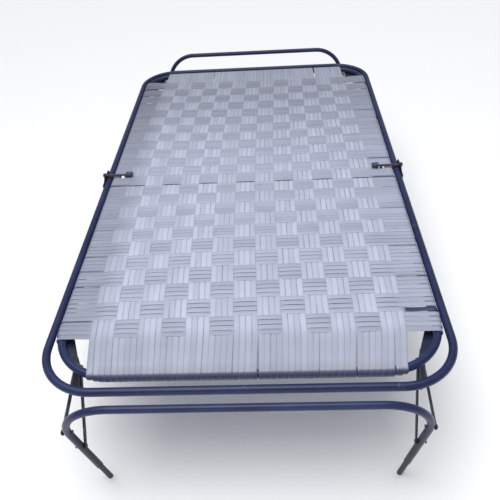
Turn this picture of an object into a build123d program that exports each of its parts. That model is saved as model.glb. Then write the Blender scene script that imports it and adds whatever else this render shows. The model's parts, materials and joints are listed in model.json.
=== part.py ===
from build123d import *
import math
import os

# Folding woven-strap bed on three tube leg frames.
# Origin on the floor under the middle of the bed, +X across, +Y to the head end, +Z up, in mm.

# ---- deck tubes -------------------------------------------------------------------------------
DECK_Z = 380.0  # height of the deck tubes' centreline
RAIL_D = 22.2
WALL = 1.5
RAIL_HALF_W = 522.4  # outer rail centreline to the bed's middle plane
RAIL_END_Y = 941.4
RAIL_CORNER_R = 145.0
FRAME_HALF_W = 496.0  # inner frame tube, which carries the straps
FRAME_END_Y = 896.0
FRAME_CORNER_R = {1: 110.0, -1: 155.0}  # head half, foot half
FOLD_GAP = 3.0  # tube ends to the fold plane
RAIL_R = RAIL_D / 2
SPACER_Y = (12.0, 400.0, 730.0)  # weld tabs between rail and frame, from the fold
SPACER_W = 14.0
SPACER_T = 6.0

# ---- woven mat --------------------------------------------------------------------------------
MAT_THICKNESS = 5.0
MAT_Z = DECK_Z + RAIL_R + 0.3
MAT_HALF_W = 499.0
MAT_SIDE_END_Y = 796.0  # where the cross straps stop
MAT_TONGUE_HALF_W = 406.0  # the lengthwise straps alone reach the end bar
MAT_END_Y = 899.0
MAT_FOLD_GAP = 1.0
MAT_NOTCH_X = 425.0  # the straps part round the hinge pins
MAT_NOTCH_Y = 14.0

# ---- fold hinge -------------------------------------------------------------------------------
HINGE_Z = DECK_Z + 20.0
PLATE_T = 2.5
PLATE_LENGTH = 52.0  # from the hinge pin to the free end of each leaf
PLATE_H = 18.0
PLATE_EYE_R = 8.0
NECK_END_Y = 30.0  # where a leaf's upper edge meets its eye's slope
PAD_START_Y = 16.0
LEAF_GAP = 0.5
LEAF_SEAT = 0.3  # leaves stand this far off the rail, so that they pass the other half's tube
HINGE_PIN_R = 4.0
HINGE_CLEARANCE = 0.08
PIN_HEAD_R = 6.5
PIN_HEAD_T = 2.0
NUT_R = 11.0  # long round nut on the pin's inner end, over the mat's notch
NUT_FROM_X = 434.0
NUT_TO_X = 456.0
RIVET_GRIP = 6.0  # how far a hinge rivet reaches in through the rail's wall
HINGE_HEAD_T = 1.2
HINGE_RIVET_R = 2.5
HINGE_RIVET_Y = (24.0, 43.0)

# ---- leg frames -------------------------------------------------------------------------------
LEG_D = 19.0
LEG_R = LEG_D / 2
LEG_WALL = 1.5
LEG_TOP_Z = DECK_Z + 50.0
LEG_TOP_Y = RAIL_END_Y + 85.0
LEG_LEAN = math.radians(10.0)  # the feet stand further in than the top bar
LEG_CORNER_R = 125.0
FOOT_LEG_HALF_TOP = 446.0
FOOT_LEG_HALF_FOOT = 406.0
HEAD_LEG_HALF_TOP = 440.0
HEAD_LEG_HALF_FOOT = 400.0
FOOT_TIP_D = 15.0
FOOT_TIP_LENGTH = 92.0  # height of the collar above the floor
FOOT_TIP_SOCKET = 20.0
COLLAR_LENGTH = 5.0
FLOOR_CUT = 120.0  # block that cuts a tip level with the floor

# ---- braces between deck and leg --------------------------------------------------------------
APEX_INSET = 100.0  # brace pivot, measured in from the end rail
APEX_Z = DECK_Z - 30.0
BRACE_W = 16.0
BRACE_T = 3.0
BRACE_OFFSET = 6.0  # brace centre to the bracket's centre, along X, at the pivot
UPPER_BRACE_DROP = 122.0  # down the leg from the top bar
LOWER_BRACE_DROP = 212.0
BRACKET_T = 3.0
FLANGE_Z = DECK_Z - 8.0  # middle of the corner bracket's level flange
FLANGE_START_Y = 762.0
FLANGE_SLANT_X = 24.0  # the flange's inner edge slants in to the web over this width
WEB_START_Y = 825.0
WEB_OUTER = (925.0, DECK_Z - 18.0)  # lower corners of the upright web, as (y, z)
WEB_TIP = ((886.0, DECK_Z - 92.0), (864.0, DECK_Z - 90.0))
BRACKET_END_R = 12.0
APEX_PIN_R = 4.0
APEX_CLEARANCE = 0.06
BRACE_RIVET_R = 3.0
RIVET_CLEARANCE = 0.06
BAR_SEAT = 0.7  # a rivet's head stands this far off the bar, which leans with the leg
BACK_SEAT = 1.9  # and this far off the tube behind, which has begun to bend there
RIVET_HEAD_R = 5.5
RIVET_HEAD_T = 2.0

# ---- middle leg frame -------------------------------------------------------------------------
MID_PIVOT_Y = 90.0
MID_PIVOT_Z = DECK_Z - 82.0
MID_TOP_RISE = 50.0
MID_HALF_W = FRAME_HALF_W - RAIL_R - LEG_R - BRACKET_T + 0.5  # brackets lap the inner frame
MID_CORNER_R = 42.0
MID_LEAN = math.radians(9.0)
MID_BRACKET_W = 30.0

HALVES = {"head": 1, "foot": -1}
SIDES = {"left": -1, "right": 1}
LEG_SPREAD = {
    "head": (HEAD_LEG_HALF_TOP, HEAD_LEG_HALF_FOOT),
    "foot": (FOOT_LEG_HALF_TOP, FOOT_LEG_HALF_FOOT),
}


def x_rod(radius, x0, x1, y, z):
    """A round rod along X."""
    rod = Cylinder(radius, abs(x1 - x0), rotation=(0, 90, 0))
    return Pos((x0 + x1) / 2, y, z) * rod


def tube_along(path, outer_r, wall):
    """A round tube swept along a path of straight runs and arcs."""
    section = Plane(origin=path @ 0, z_dir=path % 0)
    ring = section * Circle(outer_r) - section * Circle(outer_r - wall)
    return sweep(ring, path=path)


def rod_along(path, radius):
    """The full round of a tube, used to trim what is fixed to it."""
    return sweep(Plane(origin=path @ 0, z_dir=path % 0) * Circle(radius), path=path)


def deck_path(half_w, end_y, corner_r, sign):
    """The centreline of one half of a deck loop: a flat U, open at the fold."""
    start = FOLD_GAP * sign
    points = [
        (-half_w, start, DECK_Z),
        (-half_w, end_y * sign, DECK_Z),
        (half_w, end_y * sign, DECK_Z),
        (half_w, start, DECK_Z),
    ]
    return FilletPolyline(*points, radius=corner_r)


def rail_path(sign):
    return deck_path(RAIL_HALF_W, RAIL_END_Y, RAIL_CORNER_R, sign)


def frame_path(sign):
    return deck_path(FRAME_HALF_W, FRAME_END_Y, FRAME_CORNER_R[sign], sign)


def outer_rail(sign):
    rail = tube_along(rail_path(sign), RAIL_R, WALL)
    for side in SIDES.values():
        for y in HINGE_RIVET_Y:
            face = side * (RAIL_HALF_W + RAIL_R)
            rail -= x_rod(HINGE_RIVET_R, face - side * RIVET_GRIP, face + side, y * sign, DECK_Z)
    return rail


def rail_spacers(sign):
    """Short weld tabs that join the outer rail to the inner frame."""
    tabs = []
    gap_mid = (RAIL_HALF_W + FRAME_HALF_W) / 2
    side_len = RAIL_HALF_W - FRAME_HALF_W
    for side in SIDES.values():
        for y in SPACER_Y:
            tabs.append(Pos(side * gap_mid, y * sign, DECK_Z) * Box(side_len, SPACER_W, SPACER_T))
    tubes = rod_along(rail_path(sign), RAIL_R) + rod_along(frame_path(sign), RAIL_R)
    return Compound([tab - tubes for tab in tabs])


def mat(sign):
    """One half of the woven mat: full width, then a narrower tongue to the end bar."""
    half_outline = [
        (0, MAT_FOLD_GAP),
        (MAT_NOTCH_X, MAT_FOLD_GAP),
        (MAT_NOTCH_X, MAT_NOTCH_Y),
        (MAT_HALF_W, MAT_NOTCH_Y),
        (MAT_HALF_W, MAT_SIDE_END_Y),
        (MAT_TONGUE_HALF_W, MAT_SIDE_END_Y),
        (MAT_TONGUE_HALF_W, MAT_END_Y),
        (0, MAT_END_Y),
    ]
    right = [(x, y * sign) for x, y in half_outline]
    left = [(-x, y) for x, y in reversed(right)]
    outline = Polyline(*right, *left[1:-1], close=True)
    return Pos(0, 0, MAT_Z) * extrude(make_face(outline), MAT_THICKNESS, dir=(0, 0, 1))


def leaf_profile(sign):
    """A hinge leaf seen from the side: a bar on the rail that rises to an eye round the pin."""
    bar = Pos(sign * (PLATE_LENGTH + FOLD_GAP) / 2, 0) * Rectangle(PLATE_LENGTH - FOLD_GAP, PLATE_H)
    eye = Pos(0, HINGE_Z - DECK_Z) * Circle(PLATE_EYE_R)
    neck = make_face(
        Polyline(
            (sign * FOLD_GAP, -PLATE_H / 2),
            (sign * FOLD_GAP, HINGE_Z - DECK_Z),
            (sign * PLATE_EYE_R * 0.94, HINGE_Z - DECK_Z + PLATE_EYE_R * 0.34),
            (sign * NECK_END_Y, PLATE_H / 2),
            (sign * NECK_END_Y, -PLATE_H / 2),
            close=True,
        )
    )
    return bar + eye + neck


def hinge_leaf(sign, side, inner_layer):
    """The inner leaf lies on the rail; the outer leaf stands off it on a pad."""
    face = RAIL_HALF_W + RAIL_R + LEAF_SEAT
    x0 = face if inner_layer else face + PLATE_T + LEAF_GAP
    side_view = Plane(origin=(side * x0, 0, DECK_Z), x_dir=(0, 1, 0), z_dir=(1, 0, 0))
    leaf = extrude(side_view * leaf_profile(sign), side * PLATE_T)
    if not inner_layer:
        pad_mid = sign * (PLATE_LENGTH + PAD_START_Y) / 2
        pad_x = side * (face + x0) / 2
        leaf += Pos(pad_x, pad_mid, DECK_Z) * Box(x0 - face, PLATE_LENGTH - PAD_START_Y, PLATE_H)
    hole_r = HINGE_PIN_R + (HINGE_CLEARANCE if inner_layer else 0)
    leaf -= x_rod(hole_r, side * (face - 5), side * (face + 20), 0, HINGE_Z)
    for y in HINGE_RIVET_Y:
        leaf -= x_rod(HINGE_RIVET_R, side * (face - 5), side * (face + 20), y * sign, DECK_Z)
    return leaf


def hinge_rivets(sign, inner_layer):
    """Four rivets that hold a half's two hinge leaves to its outer rail."""
    face = RAIL_HALF_W + RAIL_R + LEAF_SEAT
    leaf_out = face + (PLATE_T if inner_layer else 2 * PLATE_T + LEAF_GAP)
    rivets = []
    for side in SIDES.values():
        for y in HINGE_RIVET_Y:
            inner = side * (face - LEAF_SEAT - RIVET_GRIP)
            outer = side * leaf_out
            shank = x_rod(HINGE_RIVET_R, inner, outer, y * sign, DECK_Z)
            head = x_rod(RIVET_HEAD_R, outer, outer + side * HINGE_HEAD_T, y * sign, DECK_Z)
            rivets.append(shank + head)
    return Compound(rivets)


def hinge_pin(side):
    """Fold pin, fast in the outer leaf; it runs in over the tubes to a round nut."""
    leaf_out = RAIL_HALF_W + RAIL_R + LEAF_SEAT + 2 * PLATE_T + LEAF_GAP
    pin = x_rod(HINGE_PIN_R, side * NUT_TO_X, side * leaf_out, 0, HINGE_Z)
    pin += x_rod(PIN_HEAD_R, side * leaf_out, side * (leaf_out + PIN_HEAD_T), 0, HINGE_Z)
    pin += x_rod(NUT_R, side * NUT_FROM_X, side * NUT_TO_X, 0, HINGE_Z)
    return pin


def leg_point(half, side, drop):
    """A point on a leg's centreline, measured down the leg plane from the top bar."""
    sign = HALVES[half]
    top, foot = LEG_SPREAD[half]
    full = LEG_TOP_Z / math.cos(LEG_LEAN)
    x = top - (top - foot) * drop / full
    y = LEG_TOP_Y - drop * math.sin(LEG_LEAN)
    z = LEG_TOP_Z - drop * math.cos(LEG_LEAN)
    return Vector(side * x, sign * y, z)


def apex_x(half):
    """Where the braces pivot, in line with the leg at the height of the pivot."""
    drop = (LEG_TOP_Z - APEX_Z) / math.cos(LEG_LEAN)
    return leg_point(half, 1, drop).X


def leg_drop_at_height(z):
    return (LEG_TOP_Z - z) / math.cos(LEG_LEAN)


def leg_path(half):
    """The centreline of an arch: two legs and the bar that joins their tops past the end rail."""
    sleeve_end = leg_drop_at_height(FOOT_TIP_LENGTH)
    points = [
        leg_point(half, -1, sleeve_end),
        leg_point(half, -1, 0),
        leg_point(half, 1, 0),
        leg_point(half, 1, sleeve_end),
    ]
    return FilletPolyline(*points, radius=LEG_CORNER_R)


def leg_frame(half):
    """An arch of tube with a hole through it for every brace rivet."""
    frame = tube_along(leg_path(half), LEG_R, LEG_WALL)
    hole_r = BRACE_RIVET_R + RIVET_CLEARANCE
    for side in SIDES.values():
        for drop in (UPPER_BRACE_DROP, LOWER_BRACE_DROP):
            at = leg_point(half, side, drop)
            frame -= x_rod(hole_r, at.X - LEG_D, at.X + LEG_D, at.Y, at.Z)
    return frame


def foot_tip(end, down):
    """A stepped foot pressed into a leg's end, cut level where it stands on the floor."""
    plane = Plane(origin=end, z_dir=down)
    from_end = (Align.CENTER, Align.CENTER, Align.MIN)
    into_leg = (Align.CENTER, Align.CENTER, Align.MAX)
    tip = plane * Cylinder(LEG_R, COLLAR_LENGTH, align=from_end)
    tip += plane * Cylinder(FOOT_TIP_D / 2, FOOT_TIP_LENGTH * 1.3, align=from_end)
    tip += plane * Cylinder(LEG_R - LEG_WALL, FOOT_TIP_SOCKET, align=into_leg)
    return tip - Pos(end.X, end.Y, -FLOOR_CUT / 2) * Box(FLOOR_CUT, FLOOR_CUT, FLOOR_CUT)


def leg_tip(half, side):
    sleeve_end = leg_drop_at_height(FOOT_TIP_LENGTH)
    end = leg_point(half, side, sleeve_end)
    down = (leg_point(half, side, sleeve_end + 1) - end).normalized()
    return foot_tip(end, down)


def brace(half, side, drop, layer):
    """A flat bar from the deck bracket to the leg, outside it (layer 1) or inside (layer -1)."""
    sign = HALVES[half]
    leg = leg_point(half, side, drop)
    stand_off = LEG_R + BRACE_T / 2 + 0.1
    end = Vector(leg.X + side * layer * stand_off, leg.Y, leg.Z)
    pivot_x = side * (apex_x(half) + layer * BRACE_OFFSET)
    start = Vector(pivot_x, sign * (RAIL_END_Y - APEX_INSET), APEX_Z)
    along = (end - start).normalized()
    normal = Vector(1, 0, 0) - along * along.X
    plane = Plane(origin=(start + end) / 2, x_dir=along, z_dir=normal)
    length = (end - start).length
    bar = extrude(plane * SlotCenterToCenter(length, BRACE_W), BRACE_T / 2, both=True)
    bar -= x_rod(APEX_PIN_R, start.X - 20, start.X + 20, start.Y, start.Z)
    bar -= x_rod(BRACE_RIVET_R, end.X - 8, end.X + 8, end.Y, end.Z)
    bar -= rod_along(leg_path(half), LEG_R)
    return bar


def brace_rivets(half):
    """A rivet through the leg tube at the lower end of every brace."""
    rivets = []
    for side in SIDES.values():
        for drop, layer in ((UPPER_BRACE_DROP, 1), (LOWER_BRACE_DROP, -1)):
            at = leg_point(half, side, drop)
            out = side * layer
            bar_face = at.X + out * (LEG_R + BRACE_T + BAR_SEAT)
            back_face = at.X - out * (LEG_R + BACK_SEAT)
            rivet = x_rod(BRACE_RIVET_R, back_face, bar_face, at.Y, at.Z)
            rivet += x_rod(RIVET_HEAD_R, bar_face, bar_face + out * RIVET_HEAD_T, at.Y, at.Z)
            rivet += x_rod(RIVET_HEAD_R, back_face - out * RIVET_HEAD_T, back_face, at.Y, at.Z)
            rivets.append(rivet)
    return Compound(rivets)


def apex_pins(half):
    """The two pins on which a leg frame and its braces swing."""
    sign = HALVES[half]
    y = sign * (RAIL_END_Y - APEX_INSET)
    reach = BRACE_OFFSET + BRACE_T / 2 + 1.2
    pins = []
    for side in SIDES.values():
        x = side * apex_x(half)
        pin = x_rod(APEX_PIN_R, x - reach, x + reach, y, APEX_Z)
        for end in (-1, 1):
            head = x + end * reach
            pin += x_rod(RIVET_HEAD_R + 1, head, head + end * RIVET_HEAD_T, y, APEX_Z)
        pins.append(pin)
    return Compound(pins)


def leg_bracket(half, side):
    """An angle in the inner frame's corner: a level flange and an upright web with a brace pivot."""
    sign = HALVES[half]
    x = apex_x(half)
    pivot_y = RAIL_END_Y - APEX_INSET
    corner_r = FRAME_CORNER_R[sign]
    inside = fillet(Rectangle(2 * FRAME_HALF_W, 2 * FRAME_END_Y).vertices(), corner_r)
    corner = Polyline(
        (side * (x + FLANGE_SLANT_X), sign * FLANGE_START_Y),
        (side * FRAME_HALF_W, sign * FLANGE_START_Y),
        (side * FRAME_HALF_W, sign * FRAME_END_Y),
        (side * x, sign * FRAME_END_Y),
        (side * x, sign * WEB_START_Y),
        close=True,
    )
    flange = extrude(inside & make_face(corner), BRACKET_T / 2, both=True)
    web_end = FRAME_END_Y - corner_r
    web_end += math.sqrt(corner_r**2 - (x - FRAME_HALF_W + corner_r) ** 2)
    corners = [
        (WEB_START_Y, FLANGE_Z + BRACKET_T / 2),
        (web_end, FLANGE_Z + BRACKET_T / 2),
        WEB_OUTER,
        *WEB_TIP,
        (pivot_y - BRACKET_END_R, APEX_Z),
    ]
    outline = Polyline(*[(sign * y, z) for y, z in corners], close=True)
    view = Plane(origin=(side * x, 0, 0), x_dir=(0, 1, 0), z_dir=(1, 0, 0))
    web = make_face(outline) + Pos(sign * pivot_y, APEX_Z) * Circle(BRACKET_END_R)
    bracket = Pos(0, 0, FLANGE_Z) * flange + extrude(view * web, BRACKET_T / 2, both=True)
    bracket -= rod_along(frame_path(sign), RAIL_R)
    hole_r = APEX_PIN_R + APEX_CLEARANCE
    bracket -= x_rod(hole_r, side * x - LEG_D, side * x + LEG_D, sign * pivot_y, APEX_Z)
    return bracket


def mid_point(side, drop):
    """A point on a middle leg's centreline, measured down from its pivot."""
    y = MID_PIVOT_Y - drop * math.sin(MID_LEAN)
    return Vector(side * MID_HALF_W, y, MID_PIVOT_Z - drop * math.cos(MID_LEAN))


def mid_frame():
    """The arch of tube under the fold."""
    sleeve_end = (MID_PIVOT_Z - FOOT_TIP_LENGTH) / math.cos(MID_LEAN)
    points = [
        mid_point(-1, sleeve_end),
        mid_point(-1, -MID_TOP_RISE),
        mid_point(1, -MID_TOP_RISE),
        mid_point(1, sleeve_end),
    ]
    frame = tube_along(FilletPolyline(*points, radius=MID_CORNER_R), LEG_R, LEG_WALL)
    for side in SIDES.values():
        x = side * MID_HALF_W
        frame -= x_rod(APEX_PIN_R, x - LEG_D, x + LEG_D, MID_PIVOT_Y, MID_PIVOT_Z)
    return frame


def mid_tip(side):
    sleeve_end = (MID_PIVOT_Z - FOOT_TIP_LENGTH) / math.cos(MID_LEAN)
    end = mid_point(side, sleeve_end)
    return foot_tip(end, (mid_point(side, sleeve_end + 1) - end).normalized())


def mid_bracket(side):
    """A hanging plate on the inner frame's side tube that carries the middle leg's pivot."""
    x0 = MID_HALF_W + LEG_R + 1.0
    x1 = x0 + BRACKET_T
    view = Plane(origin=(side * x0, 0, 0), x_dir=(0, 1, 0), z_dir=(1, 0, 0))
    outline = Polyline(
        (MID_PIVOT_Y - MID_BRACKET_W, DECK_Z - 2),
        (MID_PIVOT_Y + MID_BRACKET_W, DECK_Z - 2),
        (MID_PIVOT_Y + BRACKET_END_R, MID_PIVOT_Z),
        (MID_PIVOT_Y - BRACKET_END_R, MID_PIVOT_Z),
        close=True,
    )
    plate = make_face(outline) + Pos(MID_PIVOT_Y, MID_PIVOT_Z) * Circle(BRACKET_END_R)
    bracket = extrude(view * plate, side * BRACKET_T)
    bracket -= rod_along(frame_path(1), RAIL_R)
    hole_r = APEX_PIN_R + APEX_CLEARANCE
    bracket -= x_rod(hole_r, side * (x0 - 5), side * (x1 + 5), MID_PIVOT_Y, MID_PIVOT_Z)
    return bracket


def mid_pins():
    """The two pins on which the middle leg frame swings."""
    inner = MID_HALF_W - LEG_R - 0.4
    outer = MID_HALF_W + LEG_R + 1.0 + BRACKET_T + 0.6
    pins = []
    for side in SIDES.values():
        pin = x_rod(APEX_PIN_R, side * inner, side * outer, MID_PIVOT_Y, MID_PIVOT_Z)
        for face, way in ((inner, -1), (outer, 1)):
            end = side * (face + way * RIVET_HEAD_T)
            pin += x_rod(RIVET_HEAD_R + 1, side * face, end, MID_PIVOT_Y, MID_PIVOT_Z)
        pins.append(pin)
    return Compound(pins)


def deck_parts(half):
    sign = HALVES[half]
    inner_layer = half == "foot"
    parts = {
        f"{half}_outer_rail": outer_rail(sign),
        f"{half}_inner_frame": tube_along(frame_path(sign), RAIL_R, WALL),
        f"{half}_rail_spacers": rail_spacers(sign),
        f"{half}_woven_mat": mat(sign),
        f"{half}_hinge_rivets": hinge_rivets(sign, inner_layer),
    }
    for name, side in SIDES.items():
        parts[f"{half}_hinge_leaf_{name}"] = hinge_leaf(sign, side, inner_layer)
        parts[f"{half}_leg_bracket_{name}"] = leg_bracket(half, side)
    return parts


def leg_parts(half):
    parts = {
        f"{half}_leg_frame": leg_frame(half),
        f"{half}_brace_rivets": brace_rivets(half),
        f"{half}_brace_pins": apex_pins(half),
    }
    for name, side in SIDES.items():
        parts[f"{half}_foot_tip_{name}"] = leg_tip(half, side)
        parts[f"{half}_upper_brace_{name}"] = brace(half, side, UPPER_BRACE_DROP, 1)
        parts[f"{half}_lower_brace_{name}"] = brace(half, side, LOWER_BRACE_DROP, -1)
    return parts


def middle_parts():
    parts = {"middle_leg_frame": mid_frame(), "middle_leg_pins": mid_pins()}
    for name, side in SIDES.items():
        parts[f"middle_foot_tip_{name}"] = mid_tip(side)
        parts[f"middle_leg_bracket_{name}"] = mid_bracket(side)
        parts[f"hinge_pin_{name}"] = hinge_pin(side)
    return parts


def main():
    os.makedirs("parts", exist_ok=True)
    parts = middle_parts()
    for half in HALVES:
        parts.update(deck_parts(half))
        parts.update(leg_parts(half))
    for name, shape in parts.items():
        export_step(shape, f"parts/{name}.step")


main()
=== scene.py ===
import bpy
import json
import math
import random

import numpy as np
from mathutils import Matrix, Vector


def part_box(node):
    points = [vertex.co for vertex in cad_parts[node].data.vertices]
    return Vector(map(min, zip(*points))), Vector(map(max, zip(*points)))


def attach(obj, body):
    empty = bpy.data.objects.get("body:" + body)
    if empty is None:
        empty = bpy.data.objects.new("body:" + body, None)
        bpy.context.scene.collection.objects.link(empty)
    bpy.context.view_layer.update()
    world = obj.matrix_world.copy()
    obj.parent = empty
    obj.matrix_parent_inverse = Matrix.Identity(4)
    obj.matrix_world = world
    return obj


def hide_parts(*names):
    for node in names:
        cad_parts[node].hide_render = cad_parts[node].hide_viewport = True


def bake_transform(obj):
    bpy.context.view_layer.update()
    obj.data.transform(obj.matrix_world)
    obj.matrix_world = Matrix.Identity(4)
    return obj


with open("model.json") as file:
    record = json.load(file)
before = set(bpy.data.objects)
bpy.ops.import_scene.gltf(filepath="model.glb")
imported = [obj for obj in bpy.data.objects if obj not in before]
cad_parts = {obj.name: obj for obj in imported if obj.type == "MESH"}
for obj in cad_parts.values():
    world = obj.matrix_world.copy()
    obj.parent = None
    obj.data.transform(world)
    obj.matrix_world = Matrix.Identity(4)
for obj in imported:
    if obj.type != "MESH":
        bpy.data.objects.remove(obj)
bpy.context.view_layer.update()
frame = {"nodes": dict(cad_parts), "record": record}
NODES = frame["nodes"]
RNG = random.Random(11)

HEAD, FOOT = 1, -1  # the sign of y on each half
RIGHT, LEFT = 1, -1  # the sign of x on each side

# ---- the inner frame's tubes, read from the frame (metres) -------------------------------------
INNER_LO, INNER_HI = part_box("head_inner_frame")
TUBE_R = (INNER_HI[2] - INNER_LO[2]) / 2
TUBE_Z = (INNER_HI[2] + INNER_LO[2]) / 2
SIDE_X = INNER_HI[0] - TUBE_R  # the side tube's centreline
END_Y = INNER_HI[1] - TUBE_R  # the end tube's centreline
CORNER_R = {HEAD: 0.110, FOOT: 0.155}  # of each half's rounded corners

# ---- the weave ---------------------------------------------------------------------------------
COLS = 13
ROWS = 24
FOLD_ROW = ROWS // 2  # the foot half's first row
PER_BAND = 4  # straps side by side in a band
MID_STRAP = (PER_BAND - 1) / 2
COL_PITCH = 0.0624
ROW_PITCH = 0.0643
FIRST_X = -COLS * COL_PITCH / 2
FIRST_Y = ROWS * ROW_PITCH / 2
STRAP_T = 0.0024
LONG_STEP = 0.0156  # strap to strap inside a lengthwise band
CROSS_STEP = 0.0160
LONG_WIDTH = 0.0160
CROSS_WIDTH = 0.0161
WIDTH_ERROR = (-0.0004, 0.0002)  # how far one strap's width may be off
LIFT = STRAP_T / 2 + 0.00015  # over and under
SQUARENESS = 2.6  # how flat the over and under wave is at its tops
FADE = 0.4  # the wave rises from nothing over this much of the outermost bands
WRAP_R = TUBE_R + STRAP_T / 2
WRAP_START = math.radians(90)
WRAP_END = math.radians(-150)  # where a wrapped strap's end is tucked in
WRAP_POINTS = 11
WEAVE_Z = TUBE_Z + WRAP_R
PROFILE = (  # a strap's section: in half widths across, in thicknesses up
    (-1.0, 0.0), (-0.95, 0.24), (-0.72, 0.43), (-0.24, 0.5), (0.24, 0.5),
    (0.72, 0.43), (0.95, 0.24), (1.0, 0.0), (0.88, -0.5), (-0.88, -0.5),
)
STEPS = 6  # points on a strap from one band to the next
FOLD_SHADE_ROW = FOLD_ROW + 1  # painted shadow lies along this row's head-side edge, just past the fold
FOLD_SHADE_STATIONS = (-0.04, 0.04, 0.08, 0.12)  # more points on a strap there, to carry the dark line
LONG_STATIONS = sorted(
    {i / STEPS for i in range(ROWS * STEPS + 1)} | {FOLD_SHADE_ROW + d for d in FOLD_SHADE_STATIONS}
)
FREE_STATIONS = (0.25, 0.5, 0.75, 1.0)  # points from the last row to the end tube
MARGIN_STATIONS = (0.1, 0.25, 0.5, 0.6, 0.7, 0.8, 0.9, 1.0)  # from the last column to the side tube

# ---- how hand weaving has bowed the rows and columns -------------------------------------------
BOW_HEAD = 0.025  # the head half's rows bow towards the fold
BOW_HEAD_SKEW = 1.3
BOW_HEAD_SIDES = 0.85  # how much of the bow is lost at the sides
BOW_FOOT = 0.012  # and the foot half's rows bow towards it, less
BOW_FOOT_TILT = 0.5
BOW_FOOT_SIDES = 0.35
CREEP_LEFT = 0.020  # the first rows have crept towards the head at the left
CREEP_LEFT_ROWS = 10
CREEP_FOOT = 0.0085  # the last rows have crept towards the foot
CREEP_FOOT_FROM = 17
CREEP_FOOT_OVER = 5
SPREAD = 0.0065
DRIFT = -0.0188  # columns bulge outwards about the fold, mostly to the left
BULGE = 0.0225
BULGE_SKEW = 0.0102
BULGE_REACH = 0.8  # from the fold

# ---- where the straps have slipped apart or been drawn together (metres) -----------------------
WOBBLE = 0.0005
DRAWN_IN = {HEAD: 0.004, FOOT: 0.018}  # the free ends close up at the end bars
DRAWN_OVER = 0.4  # in full from this far off the bed's middle
FOOT_SHIFT = {  # (column, strap)
    (6, 3): -0.0028, (7, 0): 0.0022, (9, 1): -0.002, (10, 3): -0.0024, (11, 0): 0.0015,
    (12, 1): -0.0018, (12, 2): 0.0018,
}
HEAD_SHIFT = {(10, 3): -0.003, (11, 0): 0.003, (4, 0): 0.001}
ROW_SHIFT = {
    0: 0.006, FOLD_ROW - 1: 0.0006, FOLD_ROW: 0.0018, FOLD_ROW + 1: -0.0012, ROWS - 2: -0.0012,
    ROWS - 1: -0.0030,
}
ROW_STRETCH = {0: 1.02, ROWS - 2: 1.04, ROWS - 1: 1.02}
EDGE_SHIFT = {  # (row, side)
    (0, LEFT): 0.009, (1, LEFT): 0.006, (2, LEFT): 0.003,
    (0, RIGHT): 0.009, (1, RIGHT): 0.006, (2, RIGHT): 0.002,
    (4, RIGHT): 0.0012, (6, RIGHT): -0.0012, (8, LEFT): 0.0012,
    (FOLD_ROW - 2, RIGHT): 0.0016, (FOLD_ROW + 1, LEFT): 0.0018, (FOLD_ROW + 1, RIGHT): 0.0018,
    (ROWS - 4, LEFT): 0.0014, (ROWS - 4, RIGHT): 0.0016, (ROWS - 3, LEFT): 0.0006,
    (ROWS - 2, LEFT): -0.0008, (ROWS - 2, RIGHT): 0.0012,
    (ROWS - 1, LEFT): 0.0010, (ROWS - 1, RIGHT): -0.0018,
}
EDGE_SPREAD = {(0, LEFT): 0.0006, (0, RIGHT): 0.0003}
SAGGING = {(ROWS - 2, 3, RIGHT): 0.0030}  # (row, strap, side): how far it hangs down
# the straps round a hinge pin's nut: (shift along the bed, press down, shift back at the tube)
HINGE_SHIFT = {
    (FOLD_ROW - 1, 3): (0.0088, 0.0009, -0.0064), (FOLD_ROW - 1, 2): (0.0048, 0.0004, -0.0030),
    (FOLD_ROW - 1, 1): (0.0020, 0.0, -0.0010), (FOLD_ROW, 0): (-0.0112, 0.0009, 0.0086),
    (FOLD_ROW, 1): (-0.0060, 0.0004, 0.0046), (FOLD_ROW, 2): (-0.0024, 0.0, 0.0018),
}
NO_SHIFT = (0.0, 0.0, 0.0)
SHIFT_OVER = 0.6  # a cross strap moves aside over this much of its margin
BACK_OVER = 0.26  # and moves back over this much more
PRESS_OVER = 0.5

# ---- tone and painted shade on the straps: how deep, where it starts and over what distance it comes ---
TINTS = (0.74, 1.0)
# painted shade: the straps darken towards both ends and the left-hand margin
NEAR_GREY = (0.38, 0.74, 0.06)
FAR_GREY = (0.42, 0.1, 0.7)
FAR_CROSS_GREY = (0.22, 0.05, 0.5)
LEFT_GREY = 0.42
LEFT_GREY_MORE = 0.14  # the left margin greys more towards the head
LEFT_MORE_OVER = 0.6
LEFT_FROM = 0.37
LEFT_OVER = 0.07
TURN_SHADE = 0.95  # painted shade where straps turn down over the foot bar
TURN_FROM = 0.006
TURN_OVER = 0.012
# painted shade on the sagging strap: where it starts and over what distance it comes
SAG_FROM = 0.006
SAG_OVER = 0.01
# painted shadow across the lengthwise straps just past the fold
FOLD_SHADE = 0.97
FOLD_SHADE_Y = FIRST_Y - FOLD_SHADE_ROW * ROW_PITCH - 0.0012
FOLD_SHADE_REACH = 0.0068
FOLD_SHADE_CORE = 1.5
# painted shade in the grooves between rows at the margins
GROOVE_REACH = 0.0100
GROOVE_CORE = 1.7
GROOVE_INSET = 0.004
GROOVE_OVER = 0.006
SHADED_GROOVES = {  # (row, side): how dark the painted shade is in the groove on the head side of that row
    (ROWS - 1, LEFT): 0.97, (ROWS - 3, LEFT): 0.72, (ROWS - 4, LEFT): 0.75,
    (ROWS - 5, LEFT): 0.75, (ROWS - 7, LEFT): 0.55, (FOLD_ROW + 1, LEFT): 0.95,
    (5, LEFT): 0.4, (2, LEFT): 0.6, (1, LEFT): 0.85,
    (ROWS - 3, RIGHT): 0.75, (ROWS - 5, RIGHT): 0.72, (ROWS - 8, RIGHT): 0.5,
    (FOLD_ROW + 1, RIGHT): 0.95, (FOLD_ROW - 1, RIGHT): 0.85, (7, RIGHT): 0.5, (5, RIGHT): 0.6,
}

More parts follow.
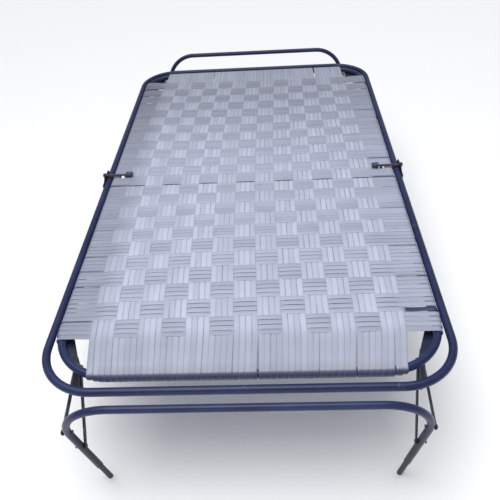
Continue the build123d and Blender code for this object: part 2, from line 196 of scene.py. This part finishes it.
# ---- colours -----------------------------------------------------------------------------------
NAVY = (0.010, 0.015, 0.056)
NAVY_PALE = (0.018, 0.028, 0.098)
# painted shade for the legs near the floor
LOW_SHADE_NAVY = (0.005, 0.006, 0.020)
FITTING = (0.008, 0.010, 0.030)
FITTING_PALE = (0.016, 0.020, 0.052)
CHIP = (0.16, 0.15, 0.17)
RUST = (0.060, 0.028, 0.028)
FASTENER = (0.018, 0.018, 0.028)
FASTENER_PALE = (0.085, 0.082, 0.11)
TIP = (0.007, 0.008, 0.022)
TIP_PALE = (0.016, 0.018, 0.042)
# the same vinyl both ways: the crosswise colour is a darker copy, painted shade for the cross straps
# lying lower
LONG_LIT_COLOUR = (0.462, 0.494, 0.618)
CROSS_SHADED_COLOUR = (0.362, 0.390, 0.506)
# the darkest painted shade a strap's tint reaches
PAINTED_SHADE_DARK = (0.016, 0.022, 0.085)
GREYED = 0.55  # the part of a strap's colour that is left at a tint of GREYED_TINT
GREYED_TINT = 0.25
# painted shade along the edges of every strap
STRAP_EDGE_SHADE = (0.20, 0.205, 0.28)
CLOUD_DARK = (0.82, 0.82, 0.86)
WHITE = (1.0, 1.0, 1.0)
RIBS = 7  # along each strap
SHADE_FULL_Z = 0.24  # painted shade: the enamel is darkened most below this height, for the shade the legs stand in near the floor
SHADE_CLEAR_Z = 0.39  # and has its own colour, with no painted shade, above this one
RUST_REACH = 0.075  # from the fold

# ---- floor, light and camera -------------------------------------------------------------------
FLOOR_SIZE = 14.0
FLOOR_COLOUR = (0.93, 0.93, 0.94)
SKY_COLOUR = (0.93, 0.96, 1.0)
SKY_STRENGTH = 0.42
CAMERA_SENSOR = 36.0
CAMERA_LENS = 41.49
CAMERA_AT = (0.0889, -1.7787, 1.5238)
CAMERA_RIGHT = (0.99834, 0.01739, -0.05485)
CAMERA_UP = (0.03064, 0.64610, 0.76264)


def add_object(name, data):
    obj = bpy.data.objects.new(name, data)
    bpy.context.scene.collection.objects.link(obj)
    return obj


# ---- strap shapes ------------------------------------------------------------------------------
def smooth(t):
    t = min(max(t, 0.0), 1.0)
    return t * t * (3 - 2 * t)


class StrapMesh:
    """Collects many straps into one mesh, with a tint per point that also carries painted shade, and
    coordinates along each strap.
    """

    def __init__(self, width):
        self.width = width
        self.points = []
        self.faces = []
        self.coords = []
        self.tints = []

    def add(self, path, side, tint, shade_map, spread=None):
        """path is a list of (point, up) pairs and side is the direction across; the function after
        tint maps a point to its painted shade, 0 for darkest up to 1, and spread maps it to how much
        wider than usual the strap lies."""
        base = len(self.points)
        usual = self.width + RNG.uniform(*WIDTH_ERROR)
        along = 0.0
        for i, (p, up) in enumerate(path):
            if i:
                along += (p - path[i - 1][0]).length
            width = usual * (spread(p) if spread else 1.0)
            for u, v in PROFILE:
                corner = p + side * (u * width / 2) + up * (v * STRAP_T)
                self.points.append(corner)
                self.coords.append((u * 0.5 + 0.5, along))
                self.tints.append(tint * shade_map(corner))
        self.add_faces(base, len(path))

    def add_faces(self, base, stations):
        """Joins the sections from point number base on, and closes both ends."""
        n = len(PROFILE)
        for i in range(stations - 1):
            for j in range(n):
                a = base + i * n + j
                b = base + i * n + (j + 1) % n
                self.faces.append((a, a + n, b + n, b))
        last = base + (stations - 1) * n
        self.faces.append(tuple(base + j for j in range(n)))
        self.faces.append(tuple(last + j for j in reversed(range(n))))

    def build(self, name, material):
        mesh = bpy.data.meshes.new(name)
        mesh.from_pydata([tuple(p) for p in self.points], [], self.faces)
        mesh.validate()
        layer = mesh.uv_layers.new(name="along")
        for loop in mesh.loops:
            layer.data[loop.index].uv = self.coords[loop.vertex_index]
        tint = mesh.attributes.new("tint", "FLOAT", "POINT")
        tint.data.foreach_set("value", np.array(self.tints, np.float32))
        mesh.shade_smooth()
        mesh.materials.append(material)
        return add_object(name, mesh)


def path_from(points, across):
    """Adds the up direction to each point of a path whose straps lie across it."""
    path = []
    for i, p in enumerate(points):
        before = points[max(i - 1, 0)]
        after = points[min(i + 1, len(points) - 1)]
        tangent = (after - before).normalized()
        path.append((p, across.cross(tangent).normalized()))
    return path


def arc_drop(along, half, radius):
    """How far a rounded corner of the inner frame has pulled in, at a distance along its side."""
    into = max(abs(along) - (half - radius), 0.0)
    return radius - math.sqrt(max(radius**2 - into**2, 0.0))


def side_x(y):
    """How far out the side tube's centreline is, at a place along the bed."""
    return SIDE_X - arc_drop(y, END_Y, CORNER_R[HEAD if y > 0 else FOOT])


def end_y(x, half):
    """How far out the end tube's centreline is, at a place across the bed."""
    return END_Y - arc_drop(x, SIDE_X, CORNER_R[half])


def bulge_at(y):
    return max(1 - (y / BULGE_REACH) ** 2, 0.0)


def weave_point(c, n):
    """Where column position c and row position n meet: a grid that hand weaving has bowed."""
    u = (2 * c - COLS) / COLS
    head = math.sin(math.pi * min(n / (FOLD_ROW + 1), 1.0) ** BOW_HEAD_SKEW)
    foot = math.sin(math.pi * max(n - FOLD_ROW - 1, 0.0) / (ROWS - FOLD_ROW))
    y = FIRST_Y - n * ROW_PITCH
    y -= BOW_HEAD * head * (1 - BOW_HEAD_SIDES * u * u)
    y += BOW_FOOT * foot * (1 + BOW_FOOT_TILT * u - BOW_FOOT_SIDES * u * u)
    y += CREEP_LEFT * max(-u, 0.0) * max(1 - n / CREEP_LEFT_ROWS, 0.0)
    y -= CREEP_FOOT * smooth((n - CREEP_FOOT_FROM) / CREEP_FOOT_OVER)
    x = FIRST_X + c * COL_PITCH + SPREAD * u
    x += (DRIFT + BULGE * u + BULGE_SKEW * u * u) * bulge_at(y)
    return x, y


def weave_lift(sign, at, bands):
    """How high a strap stands that goes over one band and under the next, flat at both ends."""
    wave = math.tanh(SQUARENESS * math.sin(math.pi * at)) / math.tanh(SQUARENESS)
    fade = min(smooth(at / FADE), smooth((bands - at) / FADE))
    return sign * wave * LIFT * fade


def wrap(outward, axis_point, radius=WRAP_R):
    """Points round a tube, from its top, over the outside and back underneath."""
    points = []
    for i in range(1, WRAP_POINTS + 1):
        angle = WRAP_START + (WRAP_END - WRAP_START) * i / WRAP_POINTS
        rise = Vector((0, 0, radius * math.sin(angle)))
        points.append(axis_point + outward * (radius * math.cos(angle)) + rise)
    return points


def free_end(first, half, shift):
    """Carries a lengthwise strap from the outermost row to the end tube and round it."""
    x = first.x + RNG.uniform(-WOBBLE, WOBBLE) + shift
    x -= DRAWN_IN[half] * math.copysign(smooth(abs(first.x) / DRAWN_OVER), first.x)
    y = half * end_y(x, half)
    run = []
    for t in FREE_STATIONS:
        run.append(Vector((first.x + (x - first.x) * t, first.y + (y - first.y) * t, WEAVE_Z)))
    return run + wrap(Vector((0, half, 0)), Vector((x, y, TUBE_Z)))


def lengthwise_points(col, k):
    """The centreline of lengthwise strap k of a column, from the head end to the foot end."""
    c = col + 0.5 + (k - MID_STRAP) * LONG_STEP / COL_PITCH
    wobble = [RNG.uniform(-WOBBLE, WOBBLE) for _ in range(ROWS + 2)]
    woven = []
    for row in LONG_STATIONS:
        lift = weave_lift(1 if col % 2 else -1, row, ROWS)
        drift = wobble[int(row)] * (1 - row % 1) + wobble[int(row) + 1] * (row % 1)
        x, y = weave_point(c, row)
        woven.append(Vector((x + drift, y, WEAVE_Z + lift)))
    head = free_end(woven[0], HEAD, HEAD_SHIFT.get((col, k), 0.0))
    foot = free_end(woven[-1], FOOT, FOOT_SHIFT.get((col, k), 0.0))
    return head[::-1] + woven + foot


def cross_margin(edge, row, k, side):
    """Carries a cross strap from the outermost column out to the side tube and round it."""
    shift, press, back = HINGE_SHIFT.get((row, k), NO_SHIFT)
    y_out = edge.y + EDGE_SHIFT.get((row, side), 0.0) + shift + RNG.uniform(-WOBBLE, WOBBLE)
    y_out -= (k - MID_STRAP) * EDGE_SPREAD.get((row, side), 0.0)
    y_end = y_out + back
    tube_x = side * side_x(y_end)
    sag = SAGGING.get((row, k, side), 0.0)
    run = []
    for t in MARGIN_STATIONS:
        x = edge.x + (tube_x - edge.x) * t
        y = edge.y + (y_out - edge.y) * smooth(t / SHIFT_OVER)
        y += back * smooth((t - SHIFT_OVER) / BACK_OVER)
        z = WEAVE_Z - press * smooth(t / PRESS_OVER) - sag * math.sin(math.pi * t)
        run.append(Vector((x, y, z)))
    return run + wrap(Vector((side, 0, 0)), Vector((tube_x, y_end, TUBE_Z)), WRAP_R - press)


def cross_points(row, k):
    """The centreline of cross strap k of a row, from the left side to the right."""
    n = row + 0.5 + (k - MID_STRAP) * CROSS_STEP * ROW_STRETCH.get(row, 1.0) / ROW_PITCH
    shift = ROW_SHIFT.get(row, 0.0) + RNG.uniform(-WOBBLE, WOBBLE) / 2
    woven = []
    for i in range(COLS * STEPS + 1):
        c = i / STEPS
        lift = weave_lift(-1 if row % 2 else 1, c, COLS)
        x, y = weave_point(c, n)
        woven.append(Vector((x, y + shift, WEAVE_Z + lift)))
    left = cross_margin(woven[0], row, k, LEFT)
    return left[::-1] + woven + cross_margin(woven[-1], row, k, RIGHT)


def lengthwise_spread(p):
    """Lengthwise straps lie flatter and wider where the columns bulge about the fold."""
    return 1.0 + (SPREAD + BULGE * bulge_at(p.y)) * 2 / (COLS * COL_PITCH)


# ---- painted shade on the straps ---------------------------------------------------------------
def groove_edge(row, side):
    """Where the groove on the head side of a row begins, at the outermost column's edge."""
    x, y = weave_point(COLS if side == RIGHT else 0, row)
    above = ROW_SHIFT.get(row - 1, 0.0) + EDGE_SHIFT.get((row - 1, side), 0.0)
    below = ROW_SHIFT.get(row, 0.0) + EDGE_SHIFT.get((row, side), 0.0)
    return Vector((x, y + (above + below) / 2, 0))


SHADED_GROOVE_EDGES = {groove: groove_edge(*groove) for groove in SHADED_GROOVES}


def falloff(at, depth, start, over):
    """1 up to the start, and down to 1 - depth once it has greyed in full."""
    return 1.0 - depth * smooth((at - start) / over)


def line_mask(distance, reach, core):
    """1 on a line and close to it, falling to 0 at reach; a greater core keeps it at 1 further."""
    return smooth(core - core * abs(distance) / reach)


def shading(p):
    """How much of a strap's colour is kept at a point, 0 to 1: painted shade darkens both ends and
    the left-hand margin.
    """
    near = falloff(-p.y, *NEAR_GREY)
    far = falloff(p.y, *FAR_GREY)
    left_depth = LEFT_GREY + LEFT_GREY_MORE * smooth(p.y / LEFT_MORE_OVER)
    return near * far * falloff(-p.x, left_depth, LEFT_FROM, LEFT_OVER)


def lengthwise_shading(p):
    """Blacker still where a strap turns down over the foot bar: painted shade on the face turned
    from the light.
    """
    return shading(p) * (1.0 - TURN_SHADE * smooth((-p.y - END_Y + TURN_FROM) / TURN_OVER))


def fold_shading(p):
    """Every second column also has a dark line of painted shadow across it, just past the fold."""
    line = line_mask(p.y - FOLD_SHADE_Y, FOLD_SHADE_REACH, FOLD_SHADE_CORE)
    return lengthwise_shading(p) * (1.0 - FOLD_SHADE * line)


def cross_shading(p):
    """In the margins, painted shade darkens some of the grooves between two rows."""
    side = RIGHT if p.x > 0 else LEFT
    worst = 0.0
    for (row, at_side), depth in SHADED_GROOVES.items():
        edge = SHADED_GROOVE_EDGES[row, at_side]
        reach = GROOVE_REACH * depth
        if at_side == side and abs(p.y - edge.y) < reach:
            inward = smooth((abs(p.x) - abs(edge.x) + GROOVE_INSET) / GROOVE_OVER)
            worst = max(worst, depth * inward * line_mask(p.y - edge.y, reach, GROOVE_CORE))
    return shading(p) * (1.0 - worst) * falloff(p.y, *FAR_CROSS_GREY)


def sagging_shading(p):
    """The strap that has sagged at the right-hand margin is painted black there, as shade under its
    neighbours.
    """
    return shading(p) * (1.0 - smooth((p.x + FIRST_X - SAG_FROM) / SAG_OVER))


# ---- materials ---------------------------------------------------------------------------------
class Graph:
    """A new material's nodes, with a short call for each kind used here."""

    def __init__(self, name):
        self.material = bpy.data.materials.new(name)
        self.material.use_nodes = True
        self.nodes = self.material.node_tree.nodes
        self.shader = self.nodes["Principled BSDF"]

    def put(self, value, socket):
        """Links a node's output to a socket, or sets the socket to a colour or a number."""
        if hasattr(value, "links"):
            self.material.node_tree.links.new(value, socket)
        elif isinstance(value, tuple):
            socket.default_value = (*value, 1.0)
        else:
            socket.default_value = value

    def add(self, kind, inputs):
        """Adds a node and fills the inputs named or numbered in a dictionary."""
        node = self.nodes.new(kind)
        for key, value in inputs.items():
            self.put(value, node.inputs[key])
        return node

    def surface(self, inputs):
        for key, value in inputs.items():
            self.put(value, self.shader.inputs[key])

    def object_coords(self):
        return self.add("ShaderNodeTexCoord", {}).outputs["Object"]

    def axes(self, vector):
        return self.add("ShaderNodeSeparateXYZ", {0: vector}).outputs

    def noise(self, coords, scale, detail=4.0, rough=0.55):
        inputs = {"Vector": coords, "Scale": scale, "Detail": detail, "Roughness": rough}
        return self.add("ShaderNodeTexNoise", inputs).outputs["Fac"]

    def ramp(self, value, stops):
        node = self.add("ShaderNodeValToRGB", {"Fac": value})
        elements = node.color_ramp.elements
        while len(elements) < len(stops):
            elements.new(0.5)
        for element, (at, colour) in zip(elements, stops):
            element.position = at
            element.color = (*colour, 1.0)
        return node.outputs["Color"]

    def mix(self, factor, a, b, kind="MIX"):
        """Mixes two colours: of a Mix node's sockets, those are 0, 6 and 7, and the output is 2."""
        node = self.nodes.new("ShaderNodeMix")
        node.data_type = "RGBA"
        node.blend_type = kind
        for number, value in ((0, factor), (6, a), (7, b)):
            self.put(value, node.inputs[number])
        return node.outputs[2]

    def calculate(self, operation, a, b=0.0):
        node = self.add("ShaderNodeMath", {0: a, 1: b})
        node.operation = operation
        return node.outputs[0]

    def map_range(self, value, start, end, low=0.0, high=1.0):
        """low at start and high at end, and no further beyond them."""
        inputs = {"Value": value, "From Min": start, "From Max": end, "To Min": low, "To Max": high}
        return self.add("ShaderNodeMapRange", inputs).outputs["Result"]

    def bump(self, height, strength, distance):
        inputs = {"Height": height, "Strength": strength, "Distance": distance}
        self.surface({"Normal": self.add("ShaderNodeBump", inputs).outputs["Normal"]})


def rust_mask(graph, coords, y):
    """Patches of rust, more of them the nearer the fold."""
    near = graph.map_range(graph.calculate("ABSOLUTE", y), RUST_REACH, 0.0)
    patch = graph.noise(coords, scale=55.0, detail=6.0, rough=0.7)
    return graph.map_range(graph.calculate("MULTIPLY", near, patch), 0.36, 0.56)


def enamel(name, deep, pale, chip_level):
    """Gloss enamel over steel: slow colour drift, fine orange peel, chips, rust by the hinge, and
    painted shade darkening it near the floor.
    """
    graph = Graph(name)
    coords = graph.object_coords()
    axes = graph.axes(coords)
    fine = graph.noise(coords, scale=210.0, detail=6.0, rough=0.7)
    worn = graph.noise(coords, scale=34.0, detail=5.0, rough=0.65)
    colour = graph.ramp(graph.noise(coords, scale=9.0), ((0.3, deep), (0.72, pale)))
    # painted shade: the enamel darkens towards the floor, for the shade on the low legs
    low_shade = graph.map_range(axes["Z"], SHADE_FULL_Z, SHADE_CLEAR_Z, low=0.95, high=0.0)
    colour = graph.mix(low_shade, colour, LOW_SHADE_NAVY)
    chips = graph.calculate("GREATER_THAN", graph.calculate("MULTIPLY", fine, worn), chip_level)
    colour = graph.mix(chips, colour, CHIP)
    graph.surface({
        "Base Color": graph.mix(rust_mask(graph, coords, axes["Y"]), colour, RUST),
        "Roughness": graph.map_range(worn, 0.0, 1.0, low=0.24, high=0.46),
        "Specular IOR Level": 0.24,
        "Coat Weight": 0.10,
        "Coat Roughness": 0.18,
    })
    graph.bump(fine, strength=0.12, distance=0.0006)
    return graph.material


def strap_material(name, light):
    """Ribbed vinyl strap: soft gloss, the tint of each point with its painted shade, ribs along it,
    painted shade at its edges.
    """
    graph = Graph(name)
    coords = graph.object_coords()
    uv = graph.nodes.new("ShaderNodeUVMap")
    uv.uv_map = "along"
    across = graph.axes(uv.outputs["UV"])["X"]
    tint = graph.nodes.new("ShaderNodeAttribute")
    tint.attribute_name = "tint"
    greyed = tuple(GREYED * channel for channel in light)
    # a strap's tint, its own tone times its painted shade, runs from the darkest painted shade at 0
    # to the lit colour at 1
    tones = ((0.0, PAINTED_SHADE_DARK), (GREYED_TINT, greyed), (1.0, light))
    colour = graph.ramp(tint.outputs["Fac"], tones)
    cloud = graph.ramp(graph.noise(coords, scale=14.0), ((0.3, CLOUD_DARK), (0.7, WHITE)))
    colour = graph.mix(0.55, colour, cloud, "MULTIPLY")
    off_middle = graph.calculate("ABSOLUTE", graph.calculate("SUBTRACT", across, 0.5))
    # painted shade: each strap darkens towards both edges
    edge = graph.map_range(off_middle, 0.34, 0.5, high=0.30)
    graph.surface({
        "Base Color": graph.mix(edge, colour, STRAP_EDGE_SHADE),
        "Roughness": 0.42,
        "Coat Weight": 0.12,
        "Coat Roughness": 0.3,
    })
    ribs = graph.calculate("SINE", graph.calculate("MULTIPLY", across, 2 * math.pi * RIBS))
    grain = graph.noise(coords, scale=420.0, detail=3.0)
    graph.bump(graph.calculate("ADD", ribs, grain), strength=0.35, distance=0.0003)
    return graph.material


def mottled_material(name, deep, pale, metallic, scale):
    """A dull, finely speckled surface."""
    graph = Graph(name)
    speckle = graph.noise(graph.object_coords(), scale, detail=6.0, rough=0.65)
    graph.surface({
        "Base Color": graph.ramp(speckle, ((0.35, deep), (0.65, pale))),
        "Metallic": metallic,
        "Roughness": 0.5,
    })
    graph.bump(speckle, strength=0.2, distance=0.0004)
    return graph.material


def dress_cad_nodes():
    materials = {
        "tube_paint": enamel("tube_paint", NAVY, NAVY_PALE, chip_level=0.40),
        "fittings": enamel("fittings", FITTING, FITTING_PALE, chip_level=0.37),
        "fastener": mottled_material("fastener", FASTENER, FASTENER_PALE, metallic=0.4, scale=160.0),
        "tip": mottled_material("tip", TIP, TIP_PALE, metallic=0.0, scale=220.0),
    }
    for part in frame["record"]["subparts"]:
        slot = part["material_slot"]
        if slot in materials:
            mesh = NODES[part["node"]].data
            mesh.materials.clear()
            mesh.materials.append(materials[slot])
            mesh.shade_smooth()


# ---- straps ------------------------------------------------------------------------------------
def build_lengthwise(material):
    straps = StrapMesh(LONG_WIDTH)
    for col in range(COLS):
        for k in range(PER_BAND):
            path = path_from(lengthwise_points(col, k), Vector((-1, 0, 0)))
            shade_map = lengthwise_shading if col % 2 else fold_shading
            straps.add(path, Vector((1, 0, 0)), RNG.uniform(*TINTS), shade_map, lengthwise_spread)
    return straps.build("lengthwise_straps", material)


def build_cross(name, rows, material):
    straps = StrapMesh(CROSS_WIDTH)
    for row in rows:
        for k in range(PER_BAND):
            path = path_from(cross_points(row, k), Vector((0, -1, 0)))
            shade_map = sagging_shading if (row, k, RIGHT) in SAGGING else cross_shading
            straps.add(path, Vector((0, 1, 0)), RNG.uniform(*TINTS), shade_map)
    return straps.build(name, material)


# ---- stage -------------------------------------------------------------------------------------
def floor():
    mesh = bpy.data.meshes.new("floor")
    h = FLOOR_SIZE / 2
    mesh.from_pydata([(-h, -h, 0), (h, -h, 0), (h, h, 0), (-h, h, 0)], [], [(0, 1, 2, 3)])
    graph = Graph("floor")
    graph.surface({"Base Color": FLOOR_COLOUR, "Roughness": 0.7})
    mesh.materials.append(graph.material)
    obj = add_object("floor", mesh)


def add_light(name, kind, location, target, strength, colour):
    data = bpy.data.lights.new(name, kind)
    data.energy = strength
    data.color = colour
    obj = add_object(name, data)
    obj.location = location
    aim = Vector(target) - Vector(location)
    obj.rotation_euler = aim.to_track_quat("-Z", "Y").to_euler()
    return data


def area_light(name, location, target, size, power, colour, gloss=1.0):
    """A round lamp; gloss is how strongly it shows in reflections."""
    data = add_light(name, "AREA", location, target, power, colour)
    data.shape = "DISK"
    data.size = size
    data.specular_factor = gloss


def sun_light(name, location, strength, spread, colour):
    """A wide soft light from one direction, aimed at the origin."""
    data = add_light(name, "SUN", location, (0, 0, 0), strength, colour)
    data.angle = math.radians(spread)


def sky():
    world = bpy.data.worlds.new("world")
    world.use_nodes = True
    background = world.node_tree.nodes["Background"]
    background.inputs["Color"].default_value = (*SKY_COLOUR, 1)
    background.inputs["Strength"].default_value = SKY_STRENGTH
    bpy.context.scene.world = world


def camera():
    data = bpy.data.cameras.new("camera")
    data.sensor_width = CAMERA_SENSOR
    data.lens = CAMERA_LENS
    obj = add_object("camera", data)
    right = Vector(CAMERA_RIGHT).normalized()
    up = Vector(CAMERA_UP).normalized()
    back = right.cross(up)
    turn = Matrix((right, up, back)).transposed()
    obj.matrix_world = Matrix.Translation(CAMERA_AT) @ turn.to_4x4()
    bpy.context.scene.camera = obj


dress_cad_nodes()
# lit and painted-shade copies of the same vinyl
long_vinyl = strap_material("strap_lengthwise", LONG_LIT_COLOUR)
cross_vinyl = strap_material("strap_crosswise", CROSS_SHADED_COLOUR)
lengthwise = build_lengthwise(long_vinyl)
head_cross = build_cross("head_cross_straps", range(FOLD_ROW), cross_vinyl)
foot_cross = build_cross("foot_cross_straps", range(FOLD_ROW, ROWS), cross_vinyl)
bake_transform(lengthwise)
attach(head_cross, "head_half")
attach(foot_cross, "foot_half")
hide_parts("head_woven_mat")
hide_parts("foot_woven_mat")

floor()
camera()
area_light(
    "key", location=(-0.3, -0.9, 2.7), target=(0, -0.5, 0.4),
    size=1.8, power=24.0, colour=(1.0, 0.99, 0.97),
)
sun_light(
    "overhead", location=(-0.4, 0.5, 3.0),
    strength=1.8, spread=60.0, colour=(1.0, 0.995, 0.99),
)
area_light(
    "front_fill", location=(0.0, -3.4, 1.0), target=(0, -0.9, 0.0),
    size=2.4, power=12.0, colour=(0.96, 0.98, 1.0), gloss=0.0,
)
sky()
bpy.context.scene.view_settings.view_transform = "Standard"
